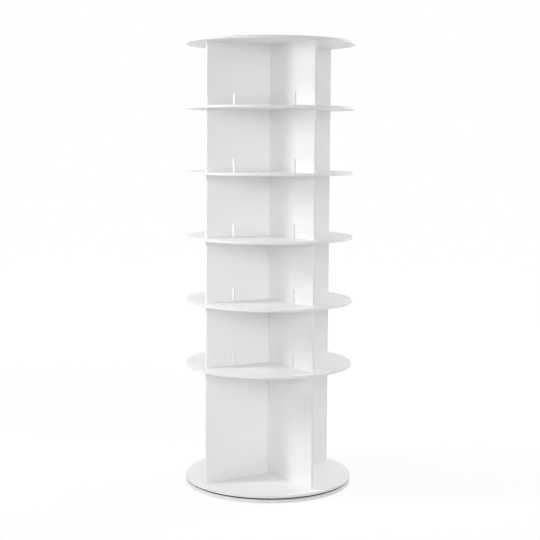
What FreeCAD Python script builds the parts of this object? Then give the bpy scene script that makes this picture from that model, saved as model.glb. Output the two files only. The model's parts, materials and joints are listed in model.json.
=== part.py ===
import FreeCAD, Part
import math
import os

# Rotating shoe tower, in millimetres. Z is up and is the axis that the tower turns about.
# The origin is on that axis, on the floor. The dividers of every tier stand along X and Y.

# Boards
disc_diameter = 450.0
board_thickness = 7.0          # turning discs and dividers are cut from the same board
base_thickness = 8.0
divider_length = 404.0         # edge to edge across the tower, short of the disc's rim
boot_tier_height = 303.0       # clear height of the lowest tier
shoe_tier_height = 165.0       # clear height of each tier above it
shoe_tier_count = 5
turntable_gap = 4.5            # open slot between the base disc and the turntable disc
disc_edge_round = 1.0
divider_edge_round = 0.8
lap_clearance = 0.15           # on each side of a divider in the cross-lap slot of its partner

# Access slits in the dividers, above the screws that hold the disc to the dividers below
slit_radius = 118.0            # distance of a slit from the axis
slit_height = 36.0             # takes a screw and then the short leg of a hex key
slit_side_clearance = 0.4      # between a screw head and each side of the slit

# Board screws: countersunk, hex socket, pointed
board_screw_diameter = 3.0
board_screw_head_diameter = 6.0
board_screw_length = 30.0
board_screw_tip = 4.0
inner_screw_radius = 45.0      # lower screw nearest to the axis
divider_screw_inset = 20.0     # lower screw nearest to the divider's end, measured from that end

# Screws of the bearing rings: countersunk, hex socket, blunt
ring_screw_diameter = 4.0
ring_screw_head_diameter = 7.6
ring_screw_count = 6
ring_screw_engagement = 6.0    # depth of thread in the outer ring
ring_screw_cover = 1.0         # board left above the tip of an inner ring screw

# All screws
head_land = 0.4                # straight part of a countersunk head, above its cone
socket_flat_share = 0.38       # hex socket across flats, as a share of the head's diameter
socket_depth = 1.4
thread_fit = 0.05              # around a screw where it bites
hole_clearance = 0.25          # around a screw where it only passes through

# Ball bearing between base and turntable
bearing_outer_diameter = 250.0
bearing_ring_width = 22.0
bearing_ring_height = 8.0
bearing_ring_step = 0.5        # the inner ring stands this much higher than the outer ring
bearing_ring_chamfer = 0.5
race_gap = 1.6                 # radial gap between the two rings
ball_diameter = 5.0
ball_count = 40
race_clearance = 0.08          # around a ball in its race
cage_thickness = 0.8
cage_rim = 0.9                 # cage left above and below a pocket
pocket_clearance = 0.1
recess_clearance = 0.5         # around the bearing in the pockets of the two discs

# Felt ring between base and turntable, which keeps a lopsided load from rocking the tower
glide_ring_inset = 6.5         # from the rim of the discs to the ring
glide_ring_width = 12.0
glide_ring_clearance = 0.4     # under the turntable disc

# Non-slip pads under the base
pad_diameter = 30.0
pad_thickness = 1.5
pad_count = 6
pad_edge_inset = 16.0          # from the rim of the base to the edge of a pad
pad_edge_round = 0.4

# Places that follow from the sizes above
up = FreeCAD.Vector(0, 0, 1)
axis_point = FreeCAD.Vector(0, 0, 0)
disc_radius = disc_diameter / 2
arm_angles = [0, 90, 180, 270]
slit_width = board_screw_head_diameter + 2 * slit_side_clearance
outer_screw_radius = divider_length / 2 - divider_screw_inset

base_bottom = pad_thickness
base_top = base_bottom + base_thickness
turntable_bottom = base_top + turntable_gap

bearing_height = bearing_ring_height + bearing_ring_step
recess_depth = (bearing_height - turntable_gap) / 2
outer_ring_bottom = base_top - recess_depth
inner_ring_bottom = outer_ring_bottom + bearing_ring_step
ball_height = outer_ring_bottom + bearing_height / 2
outer_ring_radius = bearing_outer_diameter / 2
outer_race_radius = outer_ring_radius - bearing_ring_width
inner_race_radius = outer_race_radius - race_gap
inner_ring_radius = inner_race_radius - bearing_ring_width
pitch_radius = (outer_race_radius + inner_race_radius) / 2
outer_ring_screw_radius = outer_ring_radius - bearing_ring_width / 2
inner_ring_screw_radius = inner_ring_radius + bearing_ring_width / 2

tier_heights = [boot_tier_height] + [shoe_tier_height] * shoe_tier_count
disc_bottoms = [turntable_bottom]
for tier_height in tier_heights:
    disc_bottoms.append(disc_bottoms[-1] + board_thickness + tier_height)


def turned(profile):
    """Solid turned about the Z axis from the corners (radius, height) of its section."""
    corners = [FreeCAD.Vector(radius, 0, height) for radius, height in profile]
    section = Part.Face(Part.makePolygon(corners + corners[:1]))
    return section.revolve(axis_point, up, 360)


def around(shape, radius, angles):
    """Copies of a shape that is modelled on the axis, moved out to a radius at each angle."""
    copies = []
    for angle in angles:
        copy = shape.copy()
        copy.translate(FreeCAD.Vector(radius, 0, 0))
        copy.rotate(axis_point, up, angle)
        copies.append(copy)
    return copies


def even_angles(count):
    return [360.0 * index / count for index in range(count)]


def flat_ring(inner, outer, bottom, height):
    floor = FreeCAD.Vector(0, 0, bottom)
    ring = Part.makeCylinder(outer, height, floor, up)
    return ring.cut(Part.makeCylinder(inner, height, floor, up))


def raised(shape, height):
    copy = shape.copy()
    copy.translate(FreeCAD.Vector(0, 0, height))
    return copy


def upside_down(shape):
    copy = shape.copy()
    copy.rotate(axis_point, FreeCAD.Vector(1, 0, 0), 180)
    return copy


def rim_edges(shape, radius):
    """The circular edges of that radius, such as a disc's top and bottom rim."""
    return [
        edge for edge in shape.Edges
        if edge.Closed and abs(edge.BoundBox.XMax - radius) < 1e-6
        and edge.BoundBox.ZLength < 1e-6
    ]


# Screws. A screw is modelled on the axis, its head's face at height 0 and its tip downwards.

def screw(diameter, head_diameter, length, tip):
    shank = diameter / 2
    head = head_diameter / 2
    cone_end = -head_land - (head - shank)
    body = turned([
        (0, 0), (head, 0), (head, -head_land), (shank, cone_end),
        (shank, tip - length), (shank * 0.15 if tip else shank, -length), (0, -length),
    ])
    corner_radius = socket_flat_share * head_diameter / math.sqrt(3)
    corners = [
        FreeCAD.Vector(corner_radius * math.cos(turn), corner_radius * math.sin(turn), 0)
        for turn in [math.radians(60 * corner) for corner in range(6)]
    ]
    hexagon = Part.Face(Part.makePolygon(corners + corners[:1]))
    return body.cut(hexagon.extrude(FreeCAD.Vector(0, 0, -socket_depth)))


def countersunk_hole(diameter, head_diameter, depth):
    """What a screw needs where it passes through: a seat for its head and a clear hole."""
    hole = diameter / 2 + hole_clearance
    seat = head_diameter / 2 + thread_fit
    seat_end = -head_land - (head_diameter - diameter) / 2 + hole_clearance - thread_fit
    return turned([
        (0, 1), (seat, 1), (seat, -head_land), (hole, seat_end), (hole, -depth), (0, -depth),
    ])


def threaded_hole(diameter, depth):
    """The hole that a screw bites in, with its mouth at height 0."""
    return Part.makeCylinder(diameter / 2 + thread_fit, depth, axis_point, up * -1)


def board_screw():
    return screw(board_screw_diameter, board_screw_head_diameter, board_screw_length, board_screw_tip)


def board_screw_passage():
    return countersunk_hole(board_screw_diameter, board_screw_head_diameter, board_thickness + 1)


def board_screw_bite():
    depth = board_screw_length - board_thickness + thread_fit
    return threaded_hole(board_screw_diameter, depth)


def lower_screw_places(shape):
    """One copy of a shape at each screw that comes up into the foot of a tier's dividers."""
    inner = around(shape, inner_screw_radius, arm_angles)
    outer = around(shape, outer_screw_radius, arm_angles)
    return inner + outer


def upper_screw_places(shape):
    """One copy of a shape at each screw that goes down into the top edge of a tier's dividers."""
    return around(shape, slit_radius, arm_angles)


# Discs

def plain_disc(bottom, thickness):
    disc = Part.makeCylinder(disc_radius, thickness, FreeCAD.Vector(0, 0, bottom), up)
    return disc.makeFillet(disc_edge_round, rim_edges(disc, disc_radius))


def bearing_pocket(bottom, depth):
    """Ring-shaped pocket that lets the bearing into a disc."""
    outer = outer_ring_radius + recess_clearance
    inner = inner_ring_radius - recess_clearance
    return flat_ring(inner, outer, bottom, depth)


def base_disc():
    disc = plain_disc(base_bottom, base_thickness)
    disc = disc.cut(bearing_pocket(base_top - recess_depth, recess_depth))
    passage = countersunk_hole(ring_screw_diameter, ring_screw_head_diameter, base_thickness)
    passage = raised(upside_down(passage), base_bottom)
    return disc.cut(around(passage, outer_ring_screw_radius, even_angles(ring_screw_count)))


def base_pads():
    """Round pads near the rim."""
    pad = Part.makeCylinder(pad_diameter / 2, pad_thickness)
    lower_rim = [edge for edge in rim_edges(pad, pad_diameter / 2) if edge.BoundBox.ZMax < 1e-6]
    pad = pad.makeFillet(pad_edge_round, lower_rim)
    pad_radius = disc_radius - pad_edge_inset - pad_diameter / 2
    return around(pad, pad_radius, even_angles(pad_count))


def glide_ring():
    """Ring glued on the base disc, close under the rim of the turntable disc."""
    outer = disc_radius - glide_ring_inset
    thickness = turntable_gap - glide_ring_clearance
    return flat_ring(outer - glide_ring_width, outer, base_top, thickness)


def turntable_disc():
    disc = plain_disc(turntable_bottom, board_thickness)
    disc = disc.cut(bearing_pocket(turntable_bottom, recess_depth))
    bite_depth = board_thickness - recess_depth - ring_screw_cover + thread_fit
    bite = upside_down(threaded_hole(ring_screw_diameter, bite_depth))
    bite = raised(bite, turntable_bottom + recess_depth)
    disc = disc.cut(around(bite, inner_ring_screw_radius, even_angles(ring_screw_count)))
    passage = raised(upside_down(board_screw_passage()), turntable_bottom)
    return disc.cut(lower_screw_places(passage))


def shelf_disc(level):
    """Disc between two tiers: screwed up into the tier above and down into the tier below."""
    bottom = disc_bottoms[level]
    disc = plain_disc(bottom, board_thickness)
    from_below = raised(upside_down(board_screw_passage()), bottom)
    disc = disc.cut(lower_screw_places(from_below))
    from_above = raised(board_screw_passage(), bottom + board_thickness)
    return disc.cut(upper_screw_places(from_above))


def top_disc():
    bottom = disc_bottoms[-1]
    from_above = raised(board_screw_passage(), bottom + board_thickness)
    return plain_disc(bottom, board_thickness).cut(upper_screw_places(from_above))


# Dividers. A divider is modelled along X with its foot at height 0.

def divider_board(height):
    corner = FreeCAD.Vector(-divider_length / 2, -board_thickness / 2, 0)
    board = Part.makeBox(divider_length, board_thickness, height, corner)
    end_edges = [
        edge for edge in board.Edges if abs(edge.BoundBox.ZLength - height) < 1e-6
    ]
    return board.makeFillet(divider_edge_round, end_edges)


def cross_lap_slot(height, opens_upwards):
    """Slot from mid-height to the top or the foot, where the crossing divider goes."""
    width = board_thickness + 2 * lap_clearance
    depth = height / 2 + lap_clearance
    bottom = height - depth if opens_upwards else 0
    corner = FreeCAD.Vector(-width / 2, -board_thickness, bottom)
    return Part.makeBox(width, 2 * board_thickness, depth, corner)


def slit():
    """Upright slit from the foot of a divider, with a half-round top."""
    half_width = slit_width / 2
    straight_height = slit_height - half_width
    corner = FreeCAD.Vector(-half_width, -board_thickness, 0)
    straight = Part.makeBox(slit_width, 2 * board_thickness, straight_height, corner)
    centre = FreeCAD.Vector(0, -board_thickness, straight_height)
    end = Part.makeCylinder(half_width, 2 * board_thickness, centre, FreeCAD.Vector(0, 1, 0))
    return straight.fuse(end)


def divider(tier, opens_upwards):
    height = tier_heights[tier]
    board = divider_board(height).cut(cross_lap_slot(height, opens_upwards))
    both_arms = [0, 180]
    bite_up = upside_down(board_screw_bite())
    cuts = around(bite_up, inner_screw_radius, both_arms)
    cuts += around(bite_up, outer_screw_radius, both_arms)
    cuts += around(raised(board_screw_bite(), height), slit_radius, both_arms)
    if tier > 0:
        cuts += around(slit(), slit_radius, both_arms)
    board = board.cut(cuts)
    return raised(board, disc_bottoms[tier] + board_thickness)


def crossing_divider(tier):
    board = divider(tier, opens_upwards=False)
    board.rotate(axis_point, up, 90)
    return board


def lower_screws(tier):
    """Screws up through the disc under a tier into the feet of its dividers."""
    return lower_screw_places(raised(upside_down(board_screw()), disc_bottoms[tier]))


def upper_screws(tier):
    """Screws down through the disc over a tier into the top edges of its dividers."""
    disc_top = disc_bottoms[tier + 1] + board_thickness
    return upper_screw_places(raised(board_screw(), disc_top))


# Bearing

def bearing_ring(inner, outer, bottom):
    """Plain ring with broken edges and one half of the ball race."""
    top = bottom + bearing_ring_height
    edge = bearing_ring_chamfer
    ring = turned([
        (inner, bottom + edge), (inner + edge, bottom), (outer - edge, bottom), (outer, bottom + edge),
        (outer, top - edge), (outer - edge, top), (inner + edge, top), (inner, top - edge),
    ])
    race = Part.makeTorus(
        pitch_radius, ball_diameter / 2 + race_clearance, FreeCAD.Vector(0, 0, ball_height), up
    )
    return ring.cut(race)


def bearing_outer_ring():
    ring = bearing_ring(outer_race_radius, outer_ring_radius, outer_ring_bottom)
    hole = upside_down(threaded_hole(ring_screw_diameter, bearing_ring_height))
    hole = raised(hole, outer_ring_bottom)
    return ring.cut(around(hole, outer_ring_screw_radius, even_angles(ring_screw_count)))


def bearing_inner_ring():
    ring = bearing_ring(inner_ring_radius, inner_race_radius, inner_ring_bottom)
    passage = countersunk_hole(ring_screw_diameter, ring_screw_head_diameter, bearing_ring_height + 1)
    passage = raised(upside_down(passage), inner_ring_bottom)
    return ring.cut(around(passage, inner_ring_screw_radius, even_angles(ring_screw_count)))


def bearing_balls():
    ball = raised(Part.makeSphere(ball_diameter / 2), ball_height)
    return around(ball, pitch_radius, even_angles(ball_count))


def bearing_cage():
    pocket_radius = ball_diameter / 2 + pocket_clearance
    half_height = pocket_radius + cage_rim
    inner = pitch_radius - cage_thickness / 2
    outer = pitch_radius + cage_thickness / 2
    cage = turned([
        (inner, ball_height - half_height), (outer, ball_height - half_height),
        (outer, ball_height + half_height), (inner, ball_height + half_height),
    ])
    pocket = Part.makeCylinder(
        pocket_radius, 2 * race_gap, FreeCAD.Vector(-race_gap, 0, ball_height), FreeCAD.Vector(1, 0, 0)
    )
    return cage.cut(around(pocket, pitch_radius, even_angles(ball_count)))


def bearing_outer_screws():
    """Screws up through the base disc into the outer ring."""
    length = base_thickness - recess_depth + ring_screw_engagement
    fastener = screw(ring_screw_diameter, ring_screw_head_diameter, length, 0)
    fastener = raised(upside_down(fastener), base_bottom)
    return around(fastener, outer_ring_screw_radius, even_angles(ring_screw_count))


def bearing_inner_screws():
    """Screws up through the inner ring into the turntable disc."""
    length = bearing_ring_height + board_thickness - recess_depth - ring_screw_cover
    fastener = screw(ring_screw_diameter, ring_screw_head_diameter, length, 0)
    fastener = raised(upside_down(fastener), inner_ring_bottom)
    return around(fastener, inner_ring_screw_radius, even_angles(ring_screw_count))


def write_node(name, shape):
    """One STEP file for each named piece, or for a group of identical pieces."""
    if isinstance(shape, list):
        shape = Part.makeCompound(shape)
    shape.exportStep("parts/" + name + ".step")


def write_tier(tier):
    name = "tier_" + str(tier + 1)
    write_node(name + "_divider_x", divider(tier, opens_upwards=True))
    write_node(name + "_divider_y", crossing_divider(tier))
    write_node(name + "_lower_screws", lower_screws(tier))
    write_node(name + "_upper_screws", upper_screws(tier))


os.makedirs("parts", exist_ok=True)
write_node("base_disc", base_disc())
write_node("base_pads", base_pads())
write_node("glide_ring", glide_ring())
write_node("bearing_outer_ring", bearing_outer_ring())
write_node("bearing_inner_ring", bearing_inner_ring())
write_node("bearing_balls", bearing_balls())
write_node("bearing_cage", bearing_cage())
write_node("bearing_outer_screws", bearing_outer_screws())
write_node("bearing_inner_screws", bearing_inner_screws())
write_node("turntable_disc", turntable_disc())
for level in range(1, len(tier_heights)):
    write_node("shelf_" + str(level), shelf_disc(level))
write_node("top_disc", top_disc())
for tier in range(len(tier_heights)):
    write_tier(tier)
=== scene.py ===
import json
import math

import bpy
from mathutils import Matrix, Vector


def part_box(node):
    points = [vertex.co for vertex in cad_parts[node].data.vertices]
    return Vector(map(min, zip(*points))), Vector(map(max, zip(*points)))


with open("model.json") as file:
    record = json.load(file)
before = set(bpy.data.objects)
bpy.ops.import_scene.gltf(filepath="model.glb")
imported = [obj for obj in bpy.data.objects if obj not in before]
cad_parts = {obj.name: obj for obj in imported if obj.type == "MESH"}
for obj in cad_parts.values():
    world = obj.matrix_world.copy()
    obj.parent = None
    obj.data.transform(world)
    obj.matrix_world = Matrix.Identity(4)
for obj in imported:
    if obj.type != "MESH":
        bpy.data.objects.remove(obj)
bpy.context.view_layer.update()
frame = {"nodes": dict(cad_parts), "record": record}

# Sizes are in metres and angles in degrees, in the model's own frame: Z up, the floor at zero.
MILLIMETRE = 0.001

# Camera. The picture is square, and its optical axis meets it above its middle.
PICTURE_PIXELS = 540
FOCAL_PIXELS = 1186.3
OPTICAL_AXIS_PIXELS_UP = 22.0
SENSOR_WIDTH = 36.0         # in millimetres, as a camera states it
CAMERA_AZIMUTH = -35.06     # where it stands
CAMERA_HEADING = -35.09     # the way it looks along
CAMERA_DISTANCE = 3.202
CAMERA_HEIGHT = 0.9237
CAMERA_PITCH_DOWN = 5.066
CAMERA_ROLL = 0.39

# Light. Levels are shares of white.
WORLD_STRENGTH = 0.30
LAMP_AIM_HEIGHT = 0.58
FLOOR_SIZE = 30.0
FLOOR_BOUNCE = 0.85        # what the floor sends back to the object
FLOOR_SHADE = 0.18         # how much of the floor's seen brightness comes from the light on it
FLOOR_LIGHT = 0.93         # the light on the open floor round the tower, 1 for a fully lit white
FLOOR_LIT_RADIUS = 0.8     # as far out as this; beyond it the lamps' light fades
FLOOR_DIM_RADIUS = 2.6     # and from here on only the world's is left

# Boards: how light their skin and their cut edges are.
SKIN_LEVEL = 0.90
DISC_EDGE_LEVEL = 0.80
DIVIDER_EDGE_LEVEL = 0.83

disc_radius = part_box("top_disc")[1].x
divider_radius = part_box("tier_1_divider_x")[1].x


def azimuth_axes(azimuth):
    """Unit vectors towards a viewer at that azimuth, and to that viewer's right."""
    turn = math.radians(azimuth)
    towards = Vector((math.sin(turn), -math.cos(turn), 0))
    right = Vector((math.cos(turn), math.sin(turn), 0))
    return towards, right


# Camera

def make_camera():
    """The photograph's camera."""
    standing, _ = azimuth_axes(CAMERA_AZIMUTH)
    towards, right = azimuth_axes(CAMERA_HEADING)
    upright = Vector((0, 0, 1))
    pitch = math.radians(CAMERA_PITCH_DOWN)
    roll = math.radians(CAMERA_ROLL)
    backward = towards * math.cos(pitch) + upright * math.sin(pitch)
    level_up = upright * math.cos(pitch) - towards * math.sin(pitch)
    rolled_right = right * math.cos(roll) + level_up * math.sin(roll)
    rolled_up = level_up * math.cos(roll) - right * math.sin(roll)
    placed = Matrix((rolled_right, rolled_up, backward)).transposed().to_4x4()
    placed.translation = standing * CAMERA_DISTANCE + upright * CAMERA_HEIGHT

    camera = bpy.data.objects.new("camera", bpy.data.cameras.new("camera"))
    camera.matrix_world = placed
    camera.data.sensor_width = SENSOR_WIDTH
    camera.data.lens = SENSOR_WIDTH * FOCAL_PIXELS / PICTURE_PIXELS
    camera.data.shift_y = -OPTICAL_AXIS_PIXELS_UP / PICTURE_PIXELS
    bpy.context.scene.collection.objects.link(camera)
    bpy.context.scene.camera = camera


# Shader nodes

class Shader:
    """A node material under construction. A call that adds nodes gives back the last one's output."""

    def __init__(self, name):
        self.material = bpy.data.materials.new(name)
        self.material.use_nodes = True
        self.tree = self.material.node_tree
        self.surface = self.tree.nodes["Principled BSDF"]
        coordinates = self.tree.nodes.new("ShaderNodeTexCoord")
        self.place = coordinates.outputs["Object"]

    def feed(self, socket, value):
        """Links another node's output to the socket, or sets a constant on the socket itself."""
        if isinstance(value, bpy.types.NodeSocket):
            self.tree.links.new(value, socket)
        else:
            socket.default_value = value

    def math(self, operation, first, second=0.0, clamp=False):
        """The result of an operation on one or two numbers, held between 0 and 1 if clamped."""
        node = self.tree.nodes.new("ShaderNodeMath")
        node.operation = operation
        node.use_clamp = clamp
        self.feed(node.inputs[0], first)
        self.feed(node.inputs[1], second)
        return node.outputs["Value"]

    def noise(self, feature_size, detail=2.0, stretch=(1, 1, 1)):
        """Noise from 0 to 1 whose features are about that size, in metres."""
        scaled = self.tree.nodes.new("ShaderNodeMapping")
        scaled.inputs["Scale"].default_value = stretch
        self.feed(scaled.inputs["Vector"], self.place)
        node = self.tree.nodes.new("ShaderNodeTexNoise")
        node.inputs["Scale"].default_value = 1 / feature_size
        node.inputs["Detail"].default_value = detail
        self.feed(node.inputs["Vector"], scaled.outputs["Vector"])
        return node.outputs["Fac"]

    def between(self, factor, low, high):
        """A number that goes from low to high as the factor goes from 0 to 1."""
        node = self.tree.nodes.new("ShaderNodeMapRange")
        self.feed(node.inputs["Value"], factor)
        self.feed(node.inputs["To Min"], low)
        self.feed(node.inputs["To Max"], high)
        return node.outputs["Result"]

    def blend(self, factor, first, second):
        """A colour that goes from the first to the second as the factor goes from 0 to 1."""
        node = self.tree.nodes.new("ShaderNodeMix")
        node.data_type = "RGBA"
        self.feed(node.inputs["Factor"], factor)
        self.feed(node.inputs["A"], first)
        self.feed(node.inputs["B"], second)
        return node.outputs["Result"]

    def bump(self, height, depth, under=None):
        """Relief of that depth, in metres, on top of the relief under it if there is one."""
        node = self.tree.nodes.new("ShaderNodeBump")
        node.inputs["Distance"].default_value = depth
        self.feed(node.inputs["Height"], height)
        if under is not None:
            self.feed(node.inputs["Normal"], under)
        return node.outputs["Normal"]

    def axis_distance(self):
        """Distance of a point from the tower's axis."""
        split = self.tree.nodes.new("ShaderNodeSeparateXYZ")
        self.feed(split.inputs["Vector"], self.place)
        across = self.math("POWER", split.outputs["X"], 2.0)
        along = self.math("POWER", split.outputs["Y"], 2.0)
        return self.math("SQRT", self.math("ADD", across, along))

    def set(self, **sockets):
        """Feeds the surface shader's sockets, named with _ for a space, and gives the material."""
        for name, value in sockets.items():
            self.feed(self.surface.inputs[name.replace("_", " ")], value)
        return self.material


def grey(level, tint=(1.0, 1.0, 1.0)):
    """Opaque colour of that level, with its three parts scaled by the tint."""
    return tuple(level * part for part in tint) + (1.0,)


# Materials

def white_board(name, edge_radius, edge_level):
    """White skin of a foamed board, a little uneven, with a sanded cut edge out at edge_radius."""
    edge_start = edge_radius - 0.9 * MILLIMETRE
    edge_blend = 0.5 * MILLIMETRE
    edge_added_roughness = 0.15
    patch_size = 140 * MILLIMETRE
    patch_contrast = 0.012
    speckle_size = 1.2 * MILLIMETRE
    speckle_share = 0.10
    speckle_contrast = 0.06
    speckle_depth = 0.012 * MILLIMETRE
    smudge_size = 18 * MILLIMETRE
    ripple_size = 45 * MILLIMETRE
    ripple_depth = 0.12 * MILLIMETRE

    shader = Shader(name)
    past_start = shader.math("SUBTRACT", shader.axis_distance(), edge_start)
    cut_edge = shader.math("MULTIPLY", past_start, 1 / edge_blend, clamp=True)
    speckle = shader.noise(speckle_size)
    tone = shader.blend(
        shader.noise(patch_size),
        grey(SKIN_LEVEL - patch_contrast),
        grey(SKIN_LEVEL + patch_contrast),
    )
    faint_speckle = shader.math("MULTIPLY", speckle, speckle_share)
    tone = shader.blend(faint_speckle, tone, grey(SKIN_LEVEL - speckle_contrast))
    tone = shader.blend(cut_edge, tone, grey(edge_level))
    skin_roughness = shader.between(shader.noise(smudge_size), low=0.36, high=0.48)
    sanded = shader.math("MULTIPLY", cut_edge, edge_added_roughness)
    roughness = shader.math("ADD", skin_roughness, sanded)
    ripple = shader.bump(shader.noise(ripple_size, detail=1.0), ripple_depth)
    relief = shader.bump(speckle, speckle_depth, under=ripple)
    return shader.set(Base_Color=tone, Roughness=roughness, Normal=relief)


def turned_aluminium(name):
    """Bare aluminium with the fine rings that a lathe leaves."""
    ring_pitch = 0.7 * MILLIMETRE
    ring_depth = 0.01 * MILLIMETRE
    smudge_size = 9 * MILLIMETRE

    shader = Shader(name)
    ring_angle = shader.math("MULTIPLY", shader.axis_distance(), 2 * math.pi / ring_pitch)
    rings = shader.bump(shader.math("SINE", ring_angle), ring_depth)
    smudge = shader.noise(smudge_size)
    tone = shader.blend(smudge, grey(0.72), grey(0.82, tint=(1.0, 1.0, 1.01)))
    roughness = shader.between(smudge, low=0.28, high=0.42)
    return shader.set(Base_Color=tone, Roughness=roughness, Normal=rings, Metallic=1.0)


def mottled(name, size, colours, roughness, detail=2.0, stretch=(1, 1, 1), relief=0.0, **others):
    """A material whose colour and roughness change in patches of about that size.

    Both go from their first value to their second, and with a relief the surface rises with them.
    The others are further sockets of the shader."""
    shader = Shader(name)
    pattern = shader.noise(size, detail, stretch)
    if relief:
        others["Normal"] = shader.bump(pattern, relief)
    tone = shader.blend(pattern, *colours)
    patchy_roughness = shader.between(pattern, *roughness)
    return shader.set(Base_Color=tone, Roughness=patchy_roughness, **others)


def polished_steel(name):
    return mottled(
        name,
        size=2 * MILLIMETRE,
        colours=(grey(0.74), grey(0.80)),
        roughness=(0.08, 0.16),
        Metallic=1.0,
    )


def zinc_plate(name):
    """Bright zinc plating, faintly blue and patchy."""
    return mottled(
        name,
        size=1.5 * MILLIMETRE,
        colours=(grey(0.58, tint=(0.98, 1.0, 1.03)), grey(0.74, tint=(1.0, 1.0, 1.01))),
        roughness=(0.22, 0.38),
        detail=4.0,
        relief=0.01 * MILLIMETRE,
        Metallic=1.0,
    )


def natural_nylon(name):
    return mottled(
        name,
        size=6 * MILLIMETRE,
        colours=((0.80, 0.78, 0.70, 1.0), (0.86, 0.85, 0.79, 1.0)),
        roughness=(0.38, 0.5),
        Subsurface_Weight=0.1,
    )


def foam_rubber(name):
    """Closed-cell foam: dark, dull, with fine pores."""
    return mottled(
        name,
        size=0.8 * MILLIMETRE,
        colours=(grey(0.035), grey(0.075)),
        roughness=(0.75, 0.9),
        detail=3.0,
        relief=0.08 * MILLIMETRE,
    )


def felt_painted_gap_shade(name):
    """Black felt, matted and flat, catching a little light along the nap; its black is painted shade
    in the turntable's gap.
    """
    return mottled(
        name,
        size=0.5 * MILLIMETRE,
        colours=(grey(0.012), grey(0.034, tint=(1.0, 1.0, 1.04))),
        roughness=(0.85, 1.0),
        detail=4.0,
        stretch=(1, 1, 3),
        relief=0.1 * MILLIMETRE,
        Sheen_Weight=0.1,
    )


def dress_nodes():
    """Gives every CAD node the material of its record slot."""
    finishes = {
        "bearing_aluminium": turned_aluminium("bearing_aluminium"),
        "ball_steel": polished_steel("ball_steel"),
        "cage_nylon": natural_nylon("cage_nylon"),
        "screw_steel": zinc_plate("screw_steel"),
        "pad_foam": foam_rubber("pad_foam"),
        # the glide felt's black is painted shade, darkening the gap between the turntable and the
        # base
        "glide_felt": felt_painted_gap_shade("glide_felt"),
    }
    disc_board = white_board("disc_board", disc_radius, DISC_EDGE_LEVEL)
    divider_board = white_board("divider_board", divider_radius, DIVIDER_EDGE_LEVEL)
    for row in frame["record"]["subparts"]:
        name, slot = row["node"], row["material_slot"]
        if slot == "white_board":
            finish = divider_board if "divider" in name else disc_board
        else:
            finish = finishes[slot]
        for holder in frame["nodes"][name].material_slots:
            holder.material = finish


# Floor, backdrop and light

def seen_directly(tree):
    """1 for rays that come from the camera, or by way of a mirror or glass, and 0 for the rest."""
    path = tree.nodes.new("ShaderNodeLightPath")
    any_ray = path.outputs["Is Camera Ray"]
    for kind in ("Is Glossy Ray", "Is Transmission Ray"):
        either = tree.nodes.new("ShaderNodeMath")
        either.operation = "MAXIMUM"
        tree.links.new(any_ray, either.inputs[0])
        tree.links.new(path.outputs[kind], either.inputs[1])
        any_ray = either.outputs["Value"]
    return any_ray


def make_world():
    """White where it is seen, and an even soft light on the object."""
    world = bpy.data.worlds.new("studio")
    bpy.context.scene.world = world
    world.use_nodes = True
    tree = world.node_tree
    backdrop = tree.nodes["Background"]
    backdrop.inputs["Color"].default_value = (1, 1, 1, 1)
    strength = tree.nodes.new("ShaderNodeMapRange")
    strength.inputs["To Min"].default_value = WORLD_STRENGTH
    strength.inputs["To Max"].default_value = 1.0
    tree.links.new(seen_directly(tree), strength.inputs["Value"])
    tree.links.new(strength.outputs["Result"], backdrop.inputs["Strength"])


def floor_material():
    """White that melts into the backdrop where it is seen, and a plain pale floor to other rays.

    Its glow makes up what the light on the open floor lacks of white, so only shadows go below."""
    material = bpy.data.materials.new("floor")
    material.use_nodes = True
    tree = material.node_tree
    tree.nodes.remove(tree.nodes["Principled BSDF"])

    bounce = tree.nodes.new("ShaderNodeBsdfDiffuse")
    bounce.inputs["Color"].default_value = grey(FLOOR_BOUNCE)
    shade = tree.nodes.new("ShaderNodeBsdfDiffuse")
    shade.inputs["Color"].default_value = grey(FLOOR_SHADE)

    place = tree.nodes.new("ShaderNodeTexCoord")
    distance = tree.nodes.new("ShaderNodeVectorMath")
    distance.operation = "LENGTH"
    tree.links.new(place.outputs["Object"], distance.inputs["Vector"])
    missing = tree.nodes.new("ShaderNodeMapRange")
    missing.inputs["From Min"].default_value = FLOOR_LIT_RADIUS
    missing.inputs["From Max"].default_value = FLOOR_DIM_RADIUS
    missing.inputs["To Min"].default_value = 1.0 - FLOOR_SHADE * FLOOR_LIGHT
    missing.inputs["To Max"].default_value = 1.0 - FLOOR_SHADE * WORLD_STRENGTH
    tree.links.new(distance.outputs["Value"], missing.inputs["Value"])
    glow = tree.nodes.new("ShaderNodeEmission")
    tree.links.new(missing.outputs["Result"], glow.inputs["Strength"])

    seen = tree.nodes.new("ShaderNodeAddShader")
    tree.links.new(shade.outputs["BSDF"], seen.inputs[0])
    tree.links.new(glow.outputs["Emission"], seen.inputs[1])
    either = tree.nodes.new("ShaderNodeMixShader")
    tree.links.new(seen_directly(tree), either.inputs["Fac"])
    tree.links.new(bounce.outputs["BSDF"], either.inputs[1])
    tree.links.new(seen.outputs["Shader"], either.inputs[2])
    tree.links.new(either.outputs["Shader"], tree.nodes["Material Output"].inputs["Surface"])
    return material


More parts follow.
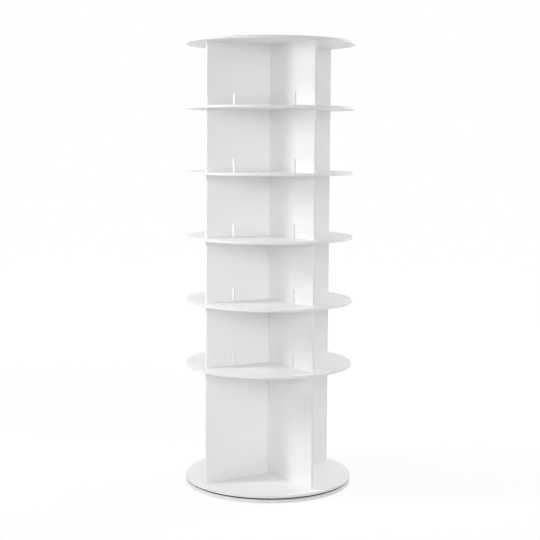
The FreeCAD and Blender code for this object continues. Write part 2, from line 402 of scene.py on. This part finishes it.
def make_floor():
    """Plain floor that keeps a faint shadow of the object."""
    half = FLOOR_SIZE / 2
    corners = [(-half, -half, 0), (half, -half, 0), (half, half, 0), (-half, half, 0)]
    mesh = bpy.data.meshes.new("floor")
    mesh.from_pydata(corners, [], [(0, 1, 2, 3)])
    mesh.materials.append(floor_material())
    floor = bpy.data.objects.new("floor", mesh)
    bpy.context.scene.collection.objects.link(floor)


def make_softbox(name, turn, distance, height, width, tall, watts, spread=180):
    """Rectangular lamp that looks at the tower, standing that far round to the camera's right.

    A spread below 180 is a grid on it, so that less of its light reaches the tower's two ends."""
    lamp = bpy.data.lights.new(name, "AREA")
    lamp.shape = "RECTANGLE"
    lamp.size = width
    lamp.size_y = tall
    lamp.energy = watts
    lamp.spread = math.radians(spread)
    box = bpy.data.objects.new(name, lamp)
    towards, _ = azimuth_axes(CAMERA_AZIMUTH + turn)
    box.location = towards * distance + Vector((0, 0, height))
    aim = Vector((0, 0, LAMP_AIM_HEIGHT)) - box.location
    box.rotation_euler = aim.to_track_quat("-Z", "Y").to_euler()
    bpy.context.scene.collection.objects.link(box)


def make_softboxes():
    """Key light from the left, broad light from the front, and panels at the back and above."""
    make_softbox("key", turn=-80, distance=1.9, height=1.35, width=0.4, tall=0.35, watts=6.9)
    make_softbox("key_low", turn=-75, distance=1.5, height=1.1, width=0.35, tall=0.6, watts=5.3)
    make_softbox(
        "high_left", turn=-81, distance=2.2, height=2.35, width=0.45, tall=0.5, watts=2.5, spread=60
    )
    make_softbox(
        "front", turn=0, distance=2.4, height=1.0, width=2.4, tall=1.0, watts=4.0, spread=70
    )
    make_softbox(
        "front_right", turn=20, distance=2.4, height=1.4, width=1.6, tall=1.2, watts=2.0, spread=90
    )
    make_softbox("back_right", turn=120, distance=2.4, height=1.4, width=0.8, tall=0.8, watts=28.5)
    make_softbox("back", turn=150, distance=2.4, height=1.2, width=1.2, tall=1.0, watts=7.3)
    make_softbox("overhead", turn=0, distance=0.01, height=3.2, width=1.6, tall=1.6, watts=8)


make_camera()
dress_nodes()
make_world()
make_floor()
make_softboxes()
bpy.context.scene.view_settings.view_transform = "Standard"
